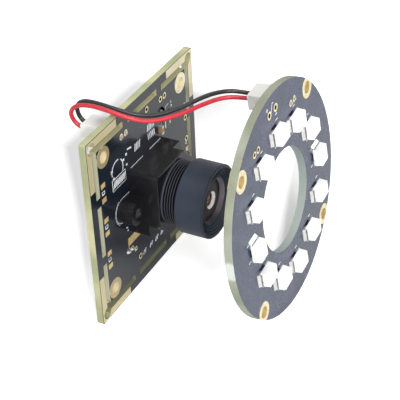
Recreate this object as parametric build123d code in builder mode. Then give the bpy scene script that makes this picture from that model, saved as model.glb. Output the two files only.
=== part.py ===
from build123d import *
from math import cos, pi, radians, sin, tan
import os

# A board camera with a screw-in lens, and the ring of lamps fed by a short pair of wires.
# Both stand on edge on one table. X runs along the camera board, Z is up, the lens looks along -Y.
# The origin is the middle of the camera board's four holes, on its front face. Millimetres.

# Camera board
board_side = 38.0           # with the frame that snaps off
core_side = 32.0            # the board inside the frame
board_thick = 1.3
board_corner_r = 0.35
slot_width = 1.2            # routed channel between core and frame
tab_centre = 6.1            # each bridge, from the middle of its side
tab_width = 1.8
relief_r = 1.1              # round cut at each corner of the channel
relief_inset = 1.6          # its centre, from the board's edges
hole_spacing = 28.0
hole_r = 1.1                # inside the plating
plating = 0.1
pad_r = 2.0
copper = 0.06               # a plated pad stands this far off the laminate
land_reach = 9.8            # bare land on the frame, from the corner along each side
land_inset = 0.15
via_r = 0.35
via_pad_r = 0.62
single_vias = [(1.35, 15.1), (15.3, 5.85), (15.3, 1.25), (-4.6, -13.25)]
spare_pins_x = 7.15
# Bare pads on the front: x, z, width, height
front_pads = [
    (-14.85, 8.7, 1.3, 0.95),
    (-14.85, 5.75, 1.3, 0.95),
    (-14.85, 1.5, 1.3, 0.95),
    (-14.85, -1.3, 1.3, 0.95),
    (-14.85, -5.6, 1.3, 0.95),
    (-14.85, -8.4, 1.3, 0.95),
    (-6.1, -7.7, 4.6, 1.7),
    (-7.2, -9.7, 0.8, 0.9),
    (-6.0, -10.6, 0.8, 0.9),
    (15.3, -1.15, 1.0, 1.0),
]

# Lens holder
holder_side = 13.2
holder_base_height = 3.6
holder_height = 5.9
holder_corner_r = 0.4
tower_chamfer = 2.9         # three corners of the tower
tower_corner_r = 0.8        # the fourth
tower_edge = 0.1
ear_spacing = 18.0
ear_r = 2.3
ear_height = 3.0
cavity_side = 10.6
cavity_corner_r = 0.8
cavity_height = 2.4
filter_side = 9.0
filter_thick = 0.4
filter_gap = 0.1
window_r = 4.2
shelf_height = 3.3          # the lens bore starts here
screw_r = 0.95
screw_gap = 0.05
screw_tip = 0.2             # the screw ends this far inside the ear
screw_head_r = 1.9
screw_head_height = 1.2
screw_head_round = 0.6
cross_width = 0.5
cross_length = 2.2
cross_depth = 0.6

# Lens
thread_r = 6.0
thread_gap = 0.05           # running fit in the holder
thread_pitch = 0.5
thread_depth = 0.3
thread_crest = 0.1          # width of each ridge's flat top
undercut = 0.2              # plain neck between thread and head
lens_rear = 3.8             # the barrel's rear end, over the board
head_start = 8.9
head_end = 14.4
head_r = 6.9
head_edge = 0.2
mouth_r = 6.35
ridge_count = 4
ridge_depth = 0.18
mouth_floor_r = 4.5
mouth_floor = 13.55
retainer_r = 4.3
retainer_seat = 11.5
retainer_lip_r = 3.1        # where it bears on the front glass
dish_r = 3.95               # floor of the dished front
dish_height = 12.6
eye_r = 1.7                 # the eye's rim stands up a little, and narrows down to the glass
eye_height = 12.95
eye_floor_r = 1.25
eye_floor = 12.3
glass_r = 3.4
fit_gap = 0.05              # round the glass and the retainers
glass_bore_start = 5.2
front_glass_top = 12.35
front_glass_edge = 11.3
front_glass_edge_r = 3.3
front_glass_rear = 10.2
spacer_top = 10.2
spacer_r = 2.6
middle_glass_seat = 8.9
middle_glass_top = 9.5
stop_top = 7.7
stop_r = 1.2
rear_glass_top = 7.2
rear_glass_seat = 5.4
rear_glass_bottom = 5.0
rear_glass_r = 2.7
rear_retainer_r = 4.15
rear_retainer_bore_r = 2.8
rear_retainer_sink = 0.15

# Image sensor
sensor_width = 9.0
sensor_depth = 8.2
sensor_height = 0.9
sensor_corner_r = 0.3
cover_width = 7.6
cover_depth = 6.8
cover_thick = 0.45

# Two-way header and plug, the same on both boards
light_ways = 2
pin_pitch = 1.5
pin_side = 0.45
pin_front = 0.35            # stands out on the board's other face
pin_reach = 3.0             # beyond the board's back face
header_width = 4.8
header_depth = 3.0
header_height = 3.4
header_wall = 0.45
header_floor = 0.8          # its inner side, over the board
header_lift = 0.1           # the header's underside, clear of the pads
keyway = 1.6                # the wall left each side of the opening in the header's lower side
plug_width = 4.2
plug_depth = 2.9
plug_gap = 0.05
plug_end = 6.0              # the plug's outer end, over the board's back face
wire_bore = 1.05
contact_side = 0.95
contact_bore = 0.6
contact_start = 1.2
contact_end = 4.7
camera_plug_x = -7.0
camera_plug_z = 14.5

# Five-way header on the back, its pins bent to feet on the board
data_ways = 5
data_x = 0.0
data_z = -13.2
data_lift = 0.25
data_foot = 0.2
data_foot_reach = 0.7

# Chips on the back
processor_side = 9.0
processor_height = 0.9
processor_x = 0.4
processor_z = 1.0
flash_length = 4.9
flash_width = 3.9
flash_height = 1.5
flash_x = -10.2
flash_z = -9.0
flash_lead_pitch = 1.27
regulator_length = 2.9
regulator_width = 1.6
regulator_height = 1.1
regulator_x = 12.0
regulator_z = -6.5
regulator_lead_pitch = 0.95
lead_width = 0.4
lead_thick = 0.18
lead_reach = 0.6
lead_lift = 0.1
crystal_length = 3.2
crystal_width = 2.5
crystal_height = 0.75
crystal_x = 6.6
crystal_z = -7.6
crystal_rim = 0.15
inductor_side = 3.0
inductor_height = 1.3
inductor_core_r = 1.35
inductor_spots = [(12.2, 8.6), (12.2, 4.4)]
chip_cap = 0.3              # length of a chip's end cap
# Chips: x, z, length, width, height, turn in degrees, side (1 front, -1 back)
capacitors = [
    (5.4, 8.7, 1.6, 0.8, 0.8, 90, 1),
    (-4.8, 8.2, 1.0, 0.5, 0.5, 0, -1),
    (-2.4, 8.2, 1.0, 0.5, 0.5, 0, -1),
    (0.0, 8.2, 1.0, 0.5, 0.5, 0, -1),
    (2.4, 8.2, 1.0, 0.5, 0.5, 0, -1),
    (-5.6, -5.6, 1.6, 0.8, 0.8, 90, -1),
    (-3.4, -5.6, 1.6, 0.8, 0.8, 90, -1),
    (12.2, 0.6, 2.0, 1.25, 1.1, 0, -1),
    (12.2, -1.8, 2.0, 1.25, 1.1, 0, -1),
]
resistors = [
    (7.8, 9.0, 2.0, 1.25, 0.5, 0, 1),
    (2.6, -5.6, 1.0, 0.5, 0.35, 90, -1),
    (1.0, -5.6, 1.0, 0.5, 0.35, 90, -1),
    (-0.6, -5.6, 1.0, 0.5, 0.35, 90, -1),
    (-12.4, 4.6, 1.6, 0.8, 0.45, 0, -1),
    (-12.4, 6.6, 1.6, 0.8, 0.45, 0, -1),
    (8.6, -11.8, 1.0, 0.5, 0.35, 0, -1),
    (8.6, -13.2, 1.0, 0.5, 0.35, 0, -1),
]

# Ring board
ring_r = 21.5
ring_bore_r = 9.5
ring_thick = 1.5
ring_hole_inset = 1.4       # each hole's centre, in from the rim
ring_x = 2.2
ring_ahead = 26.5           # its face, ahead of the camera board's
ring_lean = 5.2             # degrees, its top towards the camera board
ring_yaw = 0.6
ring_turn = 5.5             # about its own axis
ring_plug_x = 7.85
ring_plug_y = 15.5
ring_spare_x = -7.7
feed_r = 0.42
feed_pad_r = 0.78
feed_x = 1.3
feed_y = 18.45

# Lamps
lamp_count = 12
lamp_circle_r = 14.0
turned_lamps = (0, 6)       # these two lie across the others
lamp_length = 3.5
lamp_width = 2.8
lamp_height = 1.9
lamp_lift = 0.3             # the package stands on its folded leads
lamp_lead_thick = 0.15
lamp_taper = 4.0
lamp_window_r = 1.2
lamp_cup_r = 0.9
lamp_cup_depth = 0.8
lamp_lead_width = 2.6
lamp_lead_rise = 0.75
lamp_lead_foot = 0.9
solder_rise = 0.45
ring_resistor_count = 6
ring_resistor = (2.0, 1.25, 0.5)
ring_resistor_inset = 2.4   # each one's centre, from the bore's edge

# Wires: each corner of the route is x, z and the distance ahead of the camera board's face
wire_r = 0.4
black_route = [
    (-6.3, 14.5, -7.9),
    (-6.35, 15.9, -9.3),
    (-6.5, 18.0, -9.4),
    (-6.7, 19.6, -7.9),
    (-7.1, 20.2, -5.1),
    (-7.4, 20.05, -1.6),
    (-6.9, 19.3, 2.0),
    (-4.2, 17.75, 5.0),
    (0.2, 17.85, 8.1),
    (4.9, 18.65, 10.5),
    (8.25, 18.55, 13.1),
]
red_route = [
    (-7.8, 14.5, -7.9),
    (-8.0, 15.8, -9.4),
    (-8.3, 17.7, -9.6),
    (-8.5, 19.35, -8.1),
    (-8.7, 20.1, -5.2),
    (-8.8, 20.0, -1.8),
    (-8.6, 19.3, 1.6),
    (-6.3, 17.6, 4.9),
    (-1.6, 17.2, 8.2),
    (3.3, 17.7, 10.9),
    (6.65, 17.85, 13.2),
]
wire_straight = 2.4         # last run into the ring's plug

os.makedirs("parts", exist_ok=True)

core_half = core_side / 2
ring_rise = ring_r * cos(radians(ring_lean)) + ring_thick * sin(radians(ring_lean))
ring_centre = (ring_x, ring_rise - board_side / 2, ring_ahead)
ring_face = Plane.XZ.moved(Location(ring_centre, (-ring_lean, ring_yaw, ring_turn)))
lathe = Plane(origin=(0, 0, 0), x_dir=(1, 0, 0), z_dir=(0, 0, -1))
camera_pins = [(camera_plug_x + side * pin_pitch / 2, camera_plug_z) for side in (-1, 1)]
ring_pins = [(ring_plug_x + side * pin_pitch / 2, ring_plug_y) for side in (-1, 1)]
screw_points = [(-ear_spacing / 2, 0), (ear_spacing / 2, 0)]


def front(height):
    # A plane over the camera board's front face
    return Plane.XZ.offset(height)


def save(piece, name):
    piece.label = name
    export_step(piece, f"parts/{name}.step")


def plated_holes(face, thickness, points, inner_r, wall, outer_r, rim_r):
    # A pad on each face of the board, joined by the lined hole; no pad passes the rim
    with BuildPart() as plated:
        for start in (0, -thickness - copper):
            with BuildSketch(face.offset(start)):
                with Locations(*points):
                    Circle(outer_r)
                Circle(rim_r, mode=Mode.INTERSECT)
            extrude(amount=copper)
        with BuildSketch(face.offset(-thickness)):
            with Locations(*points):
                Circle(inner_r + wall)
        extrude(amount=thickness)
        with BuildSketch(face.offset(-thickness - copper)):
            with Locations(*points):
                Circle(inner_r)
        extrude(amount=thickness + 2 * copper, mode=Mode.SUBTRACT)
    return plated.part


# Channel routed round the core, stopped at two bridges a side, and opened out at its corners
channel_mid = core_side + slot_width
with BuildSketch(front(0)) as channel:
    Rectangle(core_side + 2 * slot_width, core_side + 2 * slot_width)
    Rectangle(core_side, core_side, mode=Mode.SUBTRACT)
    with GridLocations(2 * tab_centre, channel_mid, 2, 2):
        Rectangle(tab_width, slot_width, mode=Mode.SUBTRACT)
    with GridLocations(channel_mid, 2 * tab_centre, 2, 2):
        Rectangle(slot_width, tab_width, mode=Mode.SUBTRACT)
    relief_span = board_side - 2 * relief_inset
    with GridLocations(relief_span, relief_span, 2, 2):
        Circle(relief_r)

spare_points = [(spare_pins_x + side * pin_pitch / 2, camera_plug_z) for side in (-1, 1)]
via_points = camera_pins + spare_points + single_vias
with BuildPart() as camera_board:
    with BuildSketch(front(0)):
        RectangleRounded(board_side, board_side, board_corner_r)
    extrude(amount=-board_thick)
    extrude(channel.sketch, amount=-board_thick, mode=Mode.SUBTRACT)
    with BuildSketch(front(0)):
        with GridLocations(hole_spacing, hole_spacing, 2, 2):
            Circle(hole_r + plating)
        with Locations(*via_points):
            Circle(via_r + plating)
        with Locations(*screw_points):
            Circle(screw_r + screw_gap)
    extrude(amount=-board_thick, mode=Mode.SUBTRACT)
save(camera_board.part, "camera_board")

hole_half = hole_spacing / 2
board_holes = [(x, z) for x in (-hole_half, hole_half) for z in (-hole_half, hole_half)]
save(plated_holes(front(0), board_thick, board_holes, hole_r, plating, pad_r, board_side),
     "board_hole_plating")
save(plated_holes(front(0), board_thick, via_points, via_r, plating, via_pad_r, board_side),
     "board_pin_rings")

# Bare land on the frame: an angle at each corner, broken by the round relief
land_mid = (board_side + core_side + 2 * slot_width) / 4
land_width = (board_side - core_side) / 2 - slot_width - 2 * land_inset
land_start = board_side / 2 - land_inset
with BuildPart() as edge_lands:
    with BuildSketch(front(0)):
        for side in (-1, 1):
            for end in (-1, 1):
                with Locations((end * (land_start - land_reach / 2), side * land_mid)):
                    Rectangle(land_reach, land_width)
                with Locations((side * land_mid, end * (land_start - land_reach / 2))):
                    Rectangle(land_width, land_reach)
        with GridLocations(relief_span, relief_span, 2, 2):
            Circle(relief_r + copper, mode=Mode.SUBTRACT)
        RectangleRounded(board_side - 2 * land_inset, board_side - 2 * land_inset, board_corner_r,
                         mode=Mode.INTERSECT)
    extrude(amount=copper)
save(edge_lands.part, "board_edge_lands")

with BuildPart() as contact_pads:
    with BuildSketch(front(0)):
        for x, z, width, height in front_pads:
            with Locations((x, z)):
                Rectangle(width, height)
    extrude(amount=copper)
save(contact_pads.part, "board_contact_pads")

# Moulded holder: a square base with an ear each side, and a tower with three corners cut away.
# Below, it is hollow over the sensor, with a seat for the filter and a window under the lens bore.
with BuildPart() as lens_holder:
    with BuildSketch(front(0)):
        RectangleRounded(holder_side, holder_side, holder_corner_r)
    extrude(amount=holder_base_height)
    with BuildSketch(front(0)):
        SlotCenterToCenter(ear_spacing, 2 * ear_r)
    extrude(amount=ear_height)
    with BuildSketch(front(holder_base_height)) as tower:
        Rectangle(holder_side, holder_side)
        kept_corner = tower.vertices().sort_by(lambda v: v.X - v.Y)[0]
        cut_corners = tower.vertices().sort_by(lambda v: v.X - v.Y)[1:]
        chamfer(cut_corners, tower_chamfer)
        kept_corner = tower.vertices().sort_by(lambda v: v.X - v.Y)[0]
        fillet(kept_corner, tower_corner_r)
    extrude(amount=holder_height - holder_base_height)
    chamfer(faces().sort_by(Axis.Y)[0].edges(), tower_edge)
    with BuildSketch(front(0)):
        RectangleRounded(cavity_side, cavity_side, cavity_corner_r)
    extrude(amount=cavity_height, mode=Mode.SUBTRACT)
    with BuildSketch(front(0)):
        Rectangle(filter_side + 2 * filter_gap, filter_side + 2 * filter_gap)
    extrude(amount=cavity_height + filter_thick, mode=Mode.SUBTRACT)
    with BuildSketch(front(0)):
        Circle(window_r)
    extrude(amount=holder_height, mode=Mode.SUBTRACT)
    with BuildSketch(front(shelf_height)):
        Circle(thread_r + thread_gap)
    extrude(amount=holder_height - shelf_height, mode=Mode.SUBTRACT)
    with BuildSketch(front(0)):
        with Locations(*screw_points):
            Circle(screw_r + screw_gap)
    extrude(amount=ear_height, mode=Mode.SUBTRACT)
save(lens_holder.part, "lens_holder")

# Two pan-head screws hold the ears from behind the board
screw_length = board_thick + ear_height - screw_tip
with BuildPart() as holder_screws:
    with BuildSketch(front(-board_thick)):
        with Locations(*screw_points):
            Circle(screw_head_r)
    extrude(amount=-screw_head_height)
    fillet(faces().sort_by(Axis.Y)[-2:].edges(), screw_head_round)
    with BuildSketch(front(-board_thick)):
        with Locations(*screw_points):
            Circle(screw_r)
    extrude(amount=screw_length)
    with BuildSketch(front(-board_thick - screw_head_height)):
        with Locations(*screw_points):
            Rectangle(cross_length, cross_width)
            Rectangle(cross_width, cross_length)
    extrude(amount=cross_depth, mode=Mode.SUBTRACT)
save(holder_screws.part, "holder_screws")

with BuildPart() as image_sensor:
    with BuildSketch(front(0)):
        RectangleRounded(sensor_width, sensor_depth, sensor_corner_r)
    extrude(amount=sensor_height)
save(image_sensor.part, "image_sensor")

with BuildPart() as sensor_cover:
    with BuildSketch(front(sensor_height)):
        Rectangle(cover_width, cover_depth)
    extrude(amount=cover_thick)
save(sensor_cover.part, "sensor_cover_glass")

with BuildPart() as infrared_filter:
    with BuildSketch(front(cavity_height)):
        Rectangle(filter_side, filter_side)
    extrude(amount=filter_thick)
save(infrared_filter.part, "infrared_filter")


def turned(points):
    # A ring turned about the lens axis from (radius, height) points
    with BuildPart() as ring:
        with BuildSketch(lathe):
            with BuildLine():
                Polyline(*points, close=True)
            make_face()
        revolve(axis=Axis.Y)
    return ring.part


def thread_outline():
    # Ridges from the holder's mouth to the head, each one pitch long
    ridges = int((head_start - undercut - holder_height) / thread_pitch)
    start = head_start - undercut - ridges * thread_pitch
    outline = [(thread_r, start)]
    for ridge in range(1, ridges + 1):
        crest = start + ridge * thread_pitch
        outline.append((thread_r - thread_depth, crest - (thread_pitch + thread_crest) / 2))
        outline.append((thread_r, crest - thread_crest))
        outline.append((thread_r, crest))
    return outline


def mouth_outline():
    # Steps that trap stray light, from the rim in to the retainer
    step_in = (mouth_r - mouth_floor_r) / ridge_count
    step_down = (head_end - mouth_floor) / ridge_count
    outline = []
    for ridge in range(ridge_count):
        radius = mouth_r - ridge * step_in
        height = head_end - ridge * step_down
        outline.append((radius, height))
        outline.append((radius - step_in / 3, height - step_down - ridge_depth))
        outline.append((radius - 2 * step_in / 3, height - step_down - ridge_depth))
    return outline


barrel_outline = [
    (rear_retainer_r + fit_gap, lens_rear),
    (thread_r - thread_depth, lens_rear),
    (thread_r, lens_rear + thread_depth),
    *thread_outline(),
    (thread_r - thread_depth, head_start - undercut),
    (thread_r - thread_depth, head_start),
    (head_r - head_edge, head_start),
    (head_r, head_start + head_edge),
    (head_r, head_end - head_edge),
    (head_r - head_edge, head_end),
    *mouth_outline(),
    (mouth_floor_r, mouth_floor),
    (retainer_r + fit_gap, mouth_floor),
    (retainer_r + fit_gap, retainer_seat),
    (glass_r + fit_gap, retainer_seat),
    (glass_r + fit_gap, glass_bore_start),
    (rear_retainer_r + fit_gap, glass_bore_start),
]
save(turned(barrel_outline), "lens_barrel")

# Dished ring that holds the front glass, with a small round opening
front_retainer_outline = [
    (retainer_lip_r, retainer_seat),
    (retainer_r, retainer_seat),
    (retainer_r, mouth_floor),
    (dish_r, dish_height),
    (eye_r, eye_height),
    (eye_floor_r, eye_floor),
    (retainer_lip_r, retainer_seat + fit_gap + (eye_floor - front_glass_edge) / 4),
]
save(turned(front_retainer_outline), "front_retainer")

spacer_outline = [
    (spacer_r, middle_glass_seat),
    (glass_r, middle_glass_seat),
    (glass_r, spacer_top),
    (spacer_r, spacer_top),
]
save(turned(spacer_outline), "lens_spacer_ring")

stop_outline = [
    (stop_r, rear_glass_top),
    (glass_r, rear_glass_top),
    (glass_r, stop_top),
    (spacer_r, stop_top),
    (stop_r, (rear_glass_top + stop_top) / 2),
]
save(turned(stop_outline), "aperture_stop")

rear_retainer_outline = [
    (rear_retainer_bore_r, lens_rear + rear_retainer_sink),
    (rear_retainer_r, lens_rear + rear_retainer_sink),
    (rear_retainer_r, glass_bore_start),
    (glass_r, glass_bore_start),
    (glass_r, rear_glass_seat),
    (rear_retainer_bore_r, rear_glass_seat),
]
save(turned(rear_retainer_outline), "rear_retainer")


def bowed_face(middle, rim, rim_r):
    # From the axis out to the rim: flat where both are level, otherwise an arc
    if middle == rim:
        return Line((0, middle), (rim_r, rim))
    return TangentArc((0, middle), (rim_r, rim), tangent=(1, 0))


def glass(rear, seat, seat_r, edge, edge_r, front_middle):
    # A round lens: its rear face, its seat and rim, and its front face
    with BuildPart() as element:
        with BuildSketch(lathe):
            with BuildLine():
                Line((0, front_middle), (0, rear))
                bowed_face(rear, seat, seat_r)
                Polyline((seat_r, seat), (glass_r, seat), (glass_r, edge), (edge_r, edge))
                bowed_face(front_middle, edge, edge_r)
            make_face()
        revolve(axis=Axis.Y)
    return element.part


front_element = glass(front_glass_rear, spacer_top, spacer_r, front_glass_edge, front_glass_edge_r,
                      front_glass_top)
save(front_element, "front_element")
middle_element = glass(stop_top, stop_top, spacer_r, middle_glass_seat, spacer_r, middle_glass_top)
save(middle_element, "middle_element")
rear_element = glass(rear_glass_bottom, rear_glass_seat, rear_glass_r, rear_glass_top, spacer_r,
                     rear_glass_top)
save(rear_element, "rear_element")


def open_header(face, thickness, lift, x, z, width, points):
    # An open box over the board's back face, with a hole in its floor for each pin
    seat = face.offset(-thickness)
    with BuildPart() as header:
        with BuildSketch(seat.offset(-lift)):
            with Locations((x, z)):
                Rectangle(width, header_depth)
        extrude(amount=lift - header_height)
        with BuildSketch(seat.offset(-header_floor)):
            with Locations((x, z)):
                Rectangle(width - 2 * header_wall, header_depth - 2 * header_wall)
            with Locations((x, z - header_depth / 2)):
                Rectangle(width - 2 * keyway, 2 * header_wall)
        extrude(amount=header_floor - header_height, mode=Mode.SUBTRACT)
        with BuildSketch(seat):
            with Locations(*points):
                Rectangle(pin_side, pin_side)
        extrude(amount=-header_floor, mode=Mode.SUBTRACT)
    return header.part


def header_pins(face, thickness, points):
    with BuildPart() as pins:
        with BuildSketch(face.offset(pin_front)):
            with Locations(*points):
                Rectangle(pin_side, pin_side)
        extrude(amount=-(pin_front + thickness + pin_reach))
    return pins.part


def wire_plug(face, thickness, x, z, points):
    # The nose fits inside the header, the shoulder sits on its rim, a bore takes each wire
    seat = face.offset(-thickness)
    with BuildPart() as plug:
        with BuildSketch(seat.offset(-header_height)):
            with Locations((x, z)):
                Rectangle(plug_width, plug_depth)
        extrude(amount=header_height - plug_end)
        with BuildSketch(seat.offset(-header_floor - plug_gap)):
            with Locations((x, z)):
                Rectangle(header_width - 2 * (header_wall + plug_gap), header_depth - 2 * (header_wall + plug_gap))
        extrude(amount=header_floor + plug_gap - header_height)
        with BuildSketch(seat.offset(-header_floor)):
            with Locations(*points):
                Rectangle(wire_bore, wire_bore)
        extrude(amount=header_floor - plug_end, mode=Mode.SUBTRACT)
    return plug.part


def plug_contacts(face, thickness, points):
    # A square socket on each pin, closed where the wire is crimped
    seat = face.offset(-thickness)
    with BuildPart() as contacts:
        with BuildSketch(seat.offset(-contact_start)):
            with Locations(*points):
                Rectangle(contact_side, contact_side)
        extrude(amount=contact_start - contact_end)
        with BuildSketch(seat.offset(-contact_start)):
            with Locations(*points):
                Rectangle(contact_bore, contact_bore)
        extrude(amount=contact_start - pin_reach - plug_gap, mode=Mode.SUBTRACT)
    return contacts.part


for board, face, thickness, x, z, points in (
    ("camera", front(0), board_thick, camera_plug_x, camera_plug_z, camera_pins),
    ("ring", ring_face, ring_thick, ring_plug_x, ring_plug_y, ring_pins),
):
    save(open_header(face, thickness, header_lift, x, z, header_width, points), f"{board}_light_header")
    save(header_pins(face, thickness, points), f"{board}_light_pins")
    save(wire_plug(face, thickness, x, z, points), f"{board}_light_plug")
    save(plug_contacts(face, thickness, points), f"{board}_plug_contacts")

data_points = [(data_x + (way - (data_ways - 1) / 2) * pin_pitch, data_z) for way in range(data_ways)]
data_width = header_width + (data_ways - light_ways) * pin_pitch
save(open_header(front(0), board_thick, data_lift, data_x, data_z, data_width, data_points), "data_header")

# Each pin stands on a foot that comes out under the header's lower side
foot_length = header_depth / 2 + data_foot_reach
with BuildPart() as data_pins:
    with BuildSketch(front(-board_thick)):
        with Locations(*data_points):
            Rectangle(pin_side, pin_side)
    extrude(amount=-pin_reach)
    with BuildSketch(front(-board_thick)):
        with Locations(*[(x, z - foot_length / 2) for x, z in data_points]):
            Rectangle(pin_side, foot_length)
    extrude(amount=-data_foot)
save(data_pins.part, "data_header_pins")

# Chips on the back of the camera board
with BuildPart() as image_processor:
    with BuildSketch(front(-board_thick)):
        with Locations((processor_x, processor_z)):
            RectangleRounded(processor_side, processor_side, sensor_corner_r)
    extrude(amount=-processor_height)
save(image_processor.part, "image_processor")


def moulded_chip(x, z, length, width, height):
    # Chip body standing off the board on its leads, narrower towards its top and its underside
    with BuildPart() as chip:
        for way in (-1, 1):
            with BuildSketch(front(-board_thick - (height + lead_lift) / 2)):
                with Locations((x, z)):
                    Rectangle(width, length)
            extrude(amount=way * (height - lead_lift) / 2, taper=lamp_taper)
    return chip.part


def gull_leads(x, spots, width, height):
    # A foot on the board, a rise and a shoulder into the chip's side
    middle = board_thick + (height + lead_lift) / 2
    with BuildPart() as leads:
        for z, side in spots:
            edge = x + side * width / 2
            toe = edge + side * lead_reach
            bend = edge + side * lead_reach / 2
            with BuildSketch(Plane.XY.offset(z)):
                with BuildLine():
                    Polyline(
                        (edge, middle),
                        (bend, middle),
                        (bend, board_thick + lead_thick),
                        (toe, board_thick + lead_thick),
                        (toe, board_thick),
                        (bend - side * lead_thick, board_thick),
                        (bend - side * lead_thick, middle - lead_thick),
                        (edge, middle - lead_thick),
                        close=True,
                    )
                make_face()
            extrude(amount=lead_width / 2, both=True)
    return leads.part


save(moulded_chip(flash_x, flash_z, flash_length, flash_width, flash_height), "flash_memory")
flash_spots = [(flash_z + (row - 1.5) * flash_lead_pitch, side) for row in range(4) for side in (-1, 1)]
save(gull_leads(flash_x, flash_spots, flash_width, flash_height), "flash_memory_leads")

save(moulded_chip(regulator_x, regulator_z, regulator_length, regulator_width, regulator_height),
     "voltage_regulator")
regulator_spots = [(regulator_z, 1)] + [(regulator_z + end * regulator_lead_pitch, -1) for end in (-1, 1)]
save(gull_leads(regulator_x, regulator_spots, regulator_width, regulator_height), "regulator_leads")

with BuildPart() as crystal:
    with BuildSketch(front(-board_thick)):
        with Locations((crystal_x, crystal_z)):
            Rectangle(crystal_length, crystal_width)
    extrude(amount=-crystal_height / 2)
    with BuildSketch(front(-board_thick - crystal_height / 2)):
        with Locations((crystal_x, crystal_z)):
            RectangleRounded(crystal_length - 2 * crystal_rim, crystal_width - 2 * crystal_rim, sensor_corner_r)
    extrude(amount=-crystal_height / 2)
save(crystal.part, "crystal")

with BuildPart() as inductors:
    with BuildSketch(front(-board_thick)):
        with Locations(*inductor_spots):
            RectangleRounded(inductor_side, inductor_side, sensor_corner_r)
    extrude(amount=-inductor_height / 2)
    with BuildSketch(front(-board_thick - inductor_height / 2)):
        with Locations(*inductor_spots):
            Circle(inductor_core_r)
    extrude(amount=-inductor_height / 2)
save(inductors.part, "power_inductors")


def chip_seats(chips):
    # Each chip's own plane on the face that it stands on, with its size
    seats = []
    for x, z, length, width, height, turn, side in chips:
        level = 0 if side > 0 else -board_thick
        plane = Plane.XZ.moved(Location((x, z, level), (0, 0, turn)))
        seats.append((plane, length, width, side * height))
    return seats


def chip_bodies(seats):
    with BuildPart() as bodies:
        for plane, length, width, height in seats:
            with BuildSketch(plane):
                Rectangle(length - 2 * chip_cap, width)
            extrude(amount=height)
    return bodies.part


def chip_ends(seats):
    with BuildPart() as ends:
        for plane, length, width, height in seats:
            with BuildSketch(plane):
                with GridLocations(length - chip_cap, 0, 2, 1):
                    Rectangle(chip_cap, width)
            extrude(amount=height)
    return ends.part


save(chip_bodies(chip_seats(capacitors)), "chip_capacitors")
save(chip_bodies(chip_seats(resistors)), "chip_resistors")
save(chip_ends(chip_seats(capacitors + resistors)), "chip_end_caps")

# Ring board: a disc with a large bore, four plated holes at its rim, and holes for the plug's pins
ring_hole_circle_r = ring_r - ring_hole_inset
ring_holes = []
for quarter in range(4):
    angle = radians(45 + 90 * quarter)
    ring_holes.append((ring_hole_circle_r * cos(angle), ring_hole_circle_r * sin(angle)))
ring_spare_pins = [(ring_spare_x + side * pin_pitch / 2, ring_plug_y) for side in (-1, 1)]
feed_points = [(-feed_x, feed_y), (feed_x, feed_y)]
with BuildPart() as ring_board:
    with BuildSketch(ring_face):
        Circle(ring_r)
        Circle(ring_bore_r, mode=Mode.SUBTRACT)
        with Locations(*ring_holes):
            Circle(hole_r + plating, mode=Mode.SUBTRACT)
        with Locations(*ring_pins, *ring_spare_pins):
            Circle(via_r + plating, mode=Mode.SUBTRACT)
        with Locations(*feed_points):
            Circle(feed_r + plating, mode=Mode.SUBTRACT)
    extrude(amount=-ring_thick)
save(ring_board.part, "ring_board")

save(plated_holes(ring_face, ring_thick, ring_holes, hole_r, plating, pad_r, ring_r), "ring_hole_plating")
save(plated_holes(ring_face, ring_thick, ring_pins + ring_spare_pins, via_r, plating, via_pad_r, ring_r),
     "ring_pin_rings")
save(plated_holes(ring_face, ring_thick, feed_points, feed_r, plating, feed_pad_r, ring_r), "ring_feed_rings")


def lamp_seat(number):
    angle = radians(360 / lamp_count * number)
    turn = 90 if number in turned_lamps else 0
    spot = (lamp_circle_r * cos(angle), lamp_circle_r * sin(angle), 0)
    return ring_face.moved(Location(spot, (0, 0, turn)))


def lamp_cup(seat):
    with BuildPart() as cup:
        with BuildSketch(seat.offset(lamp_height - lamp_cup_depth)):
            Circle(lamp_cup_r)
        with BuildSketch(seat.offset(lamp_height)):
            Circle(lamp_window_r)
        loft()
    return cup.part


# Each lamp: a white package with a filled cup, and a lead folded under each end
lamp_cups = [lamp_cup(lamp_seat(number)) for number in range(lamp_count)]
for number in range(lamp_count):
    seat = lamp_seat(number)
    with BuildPart() as lamp:
        with BuildSketch(seat.offset(lamp_lift)):
            Rectangle(lamp_length, lamp_width)
        extrude(amount=lamp_height - lamp_lift, taper=lamp_taper)
        add(lamp_cups[number], mode=Mode.SUBTRACT)
    save(lamp.part, f"lamp_{number + 1:02d}")

with BuildPart() as lamp_filling:
    add(lamp_cups)
save(lamp_filling.part, "lamp_filling")

with BuildPart() as lamp_leads:
    for number in range(lamp_count):
        seat = lamp_seat(number)
        side_on = Plane(origin=seat.origin, x_dir=seat.x_dir, z_dir=-seat.y_dir)
        for end in (-1, 1):
            face_x = end * lamp_length / 2
            outer_x = face_x + end * lamp_lead_thick
            with BuildSketch(side_on):
                with BuildLine():
                    Polyline(
                        (face_x - end * lamp_lead_foot, 0),
                        (outer_x + end * solder_rise, 0),
                        (outer_x, solder_rise),
                        (outer_x, lamp_lead_rise),
                        (face_x, lamp_lead_rise),
                        (face_x, lamp_lift),
                        (face_x - end * lamp_lead_foot, lamp_lift),
                        close=True,
                    )
                make_face()
            extrude(amount=lamp_lead_width / 2, both=True)
save(lamp_leads.part, "lamp_leads")

resistor_circle_r = ring_bore_r + ring_resistor_inset
ring_chips = []
for number in range(ring_resistor_count):
    angle = 360 / ring_resistor_count * number
    spot = (resistor_circle_r * cos(radians(angle)), resistor_circle_r * sin(radians(angle)), -ring_thick)
    length, width, height = ring_resistor
    ring_chips.append((ring_face.moved(Location(spot, (0, 0, angle + 90))), length, width, -height))
save(chip_bodies(ring_chips), "ring_resistors")
save(chip_ends(ring_chips), "ring_resistor_ends")


def behind(face, point, depth):
    # A point in space from a point on a board's face and a depth below it
    return face.from_local_coords(Vector(point[0], point[1], -depth))


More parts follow.
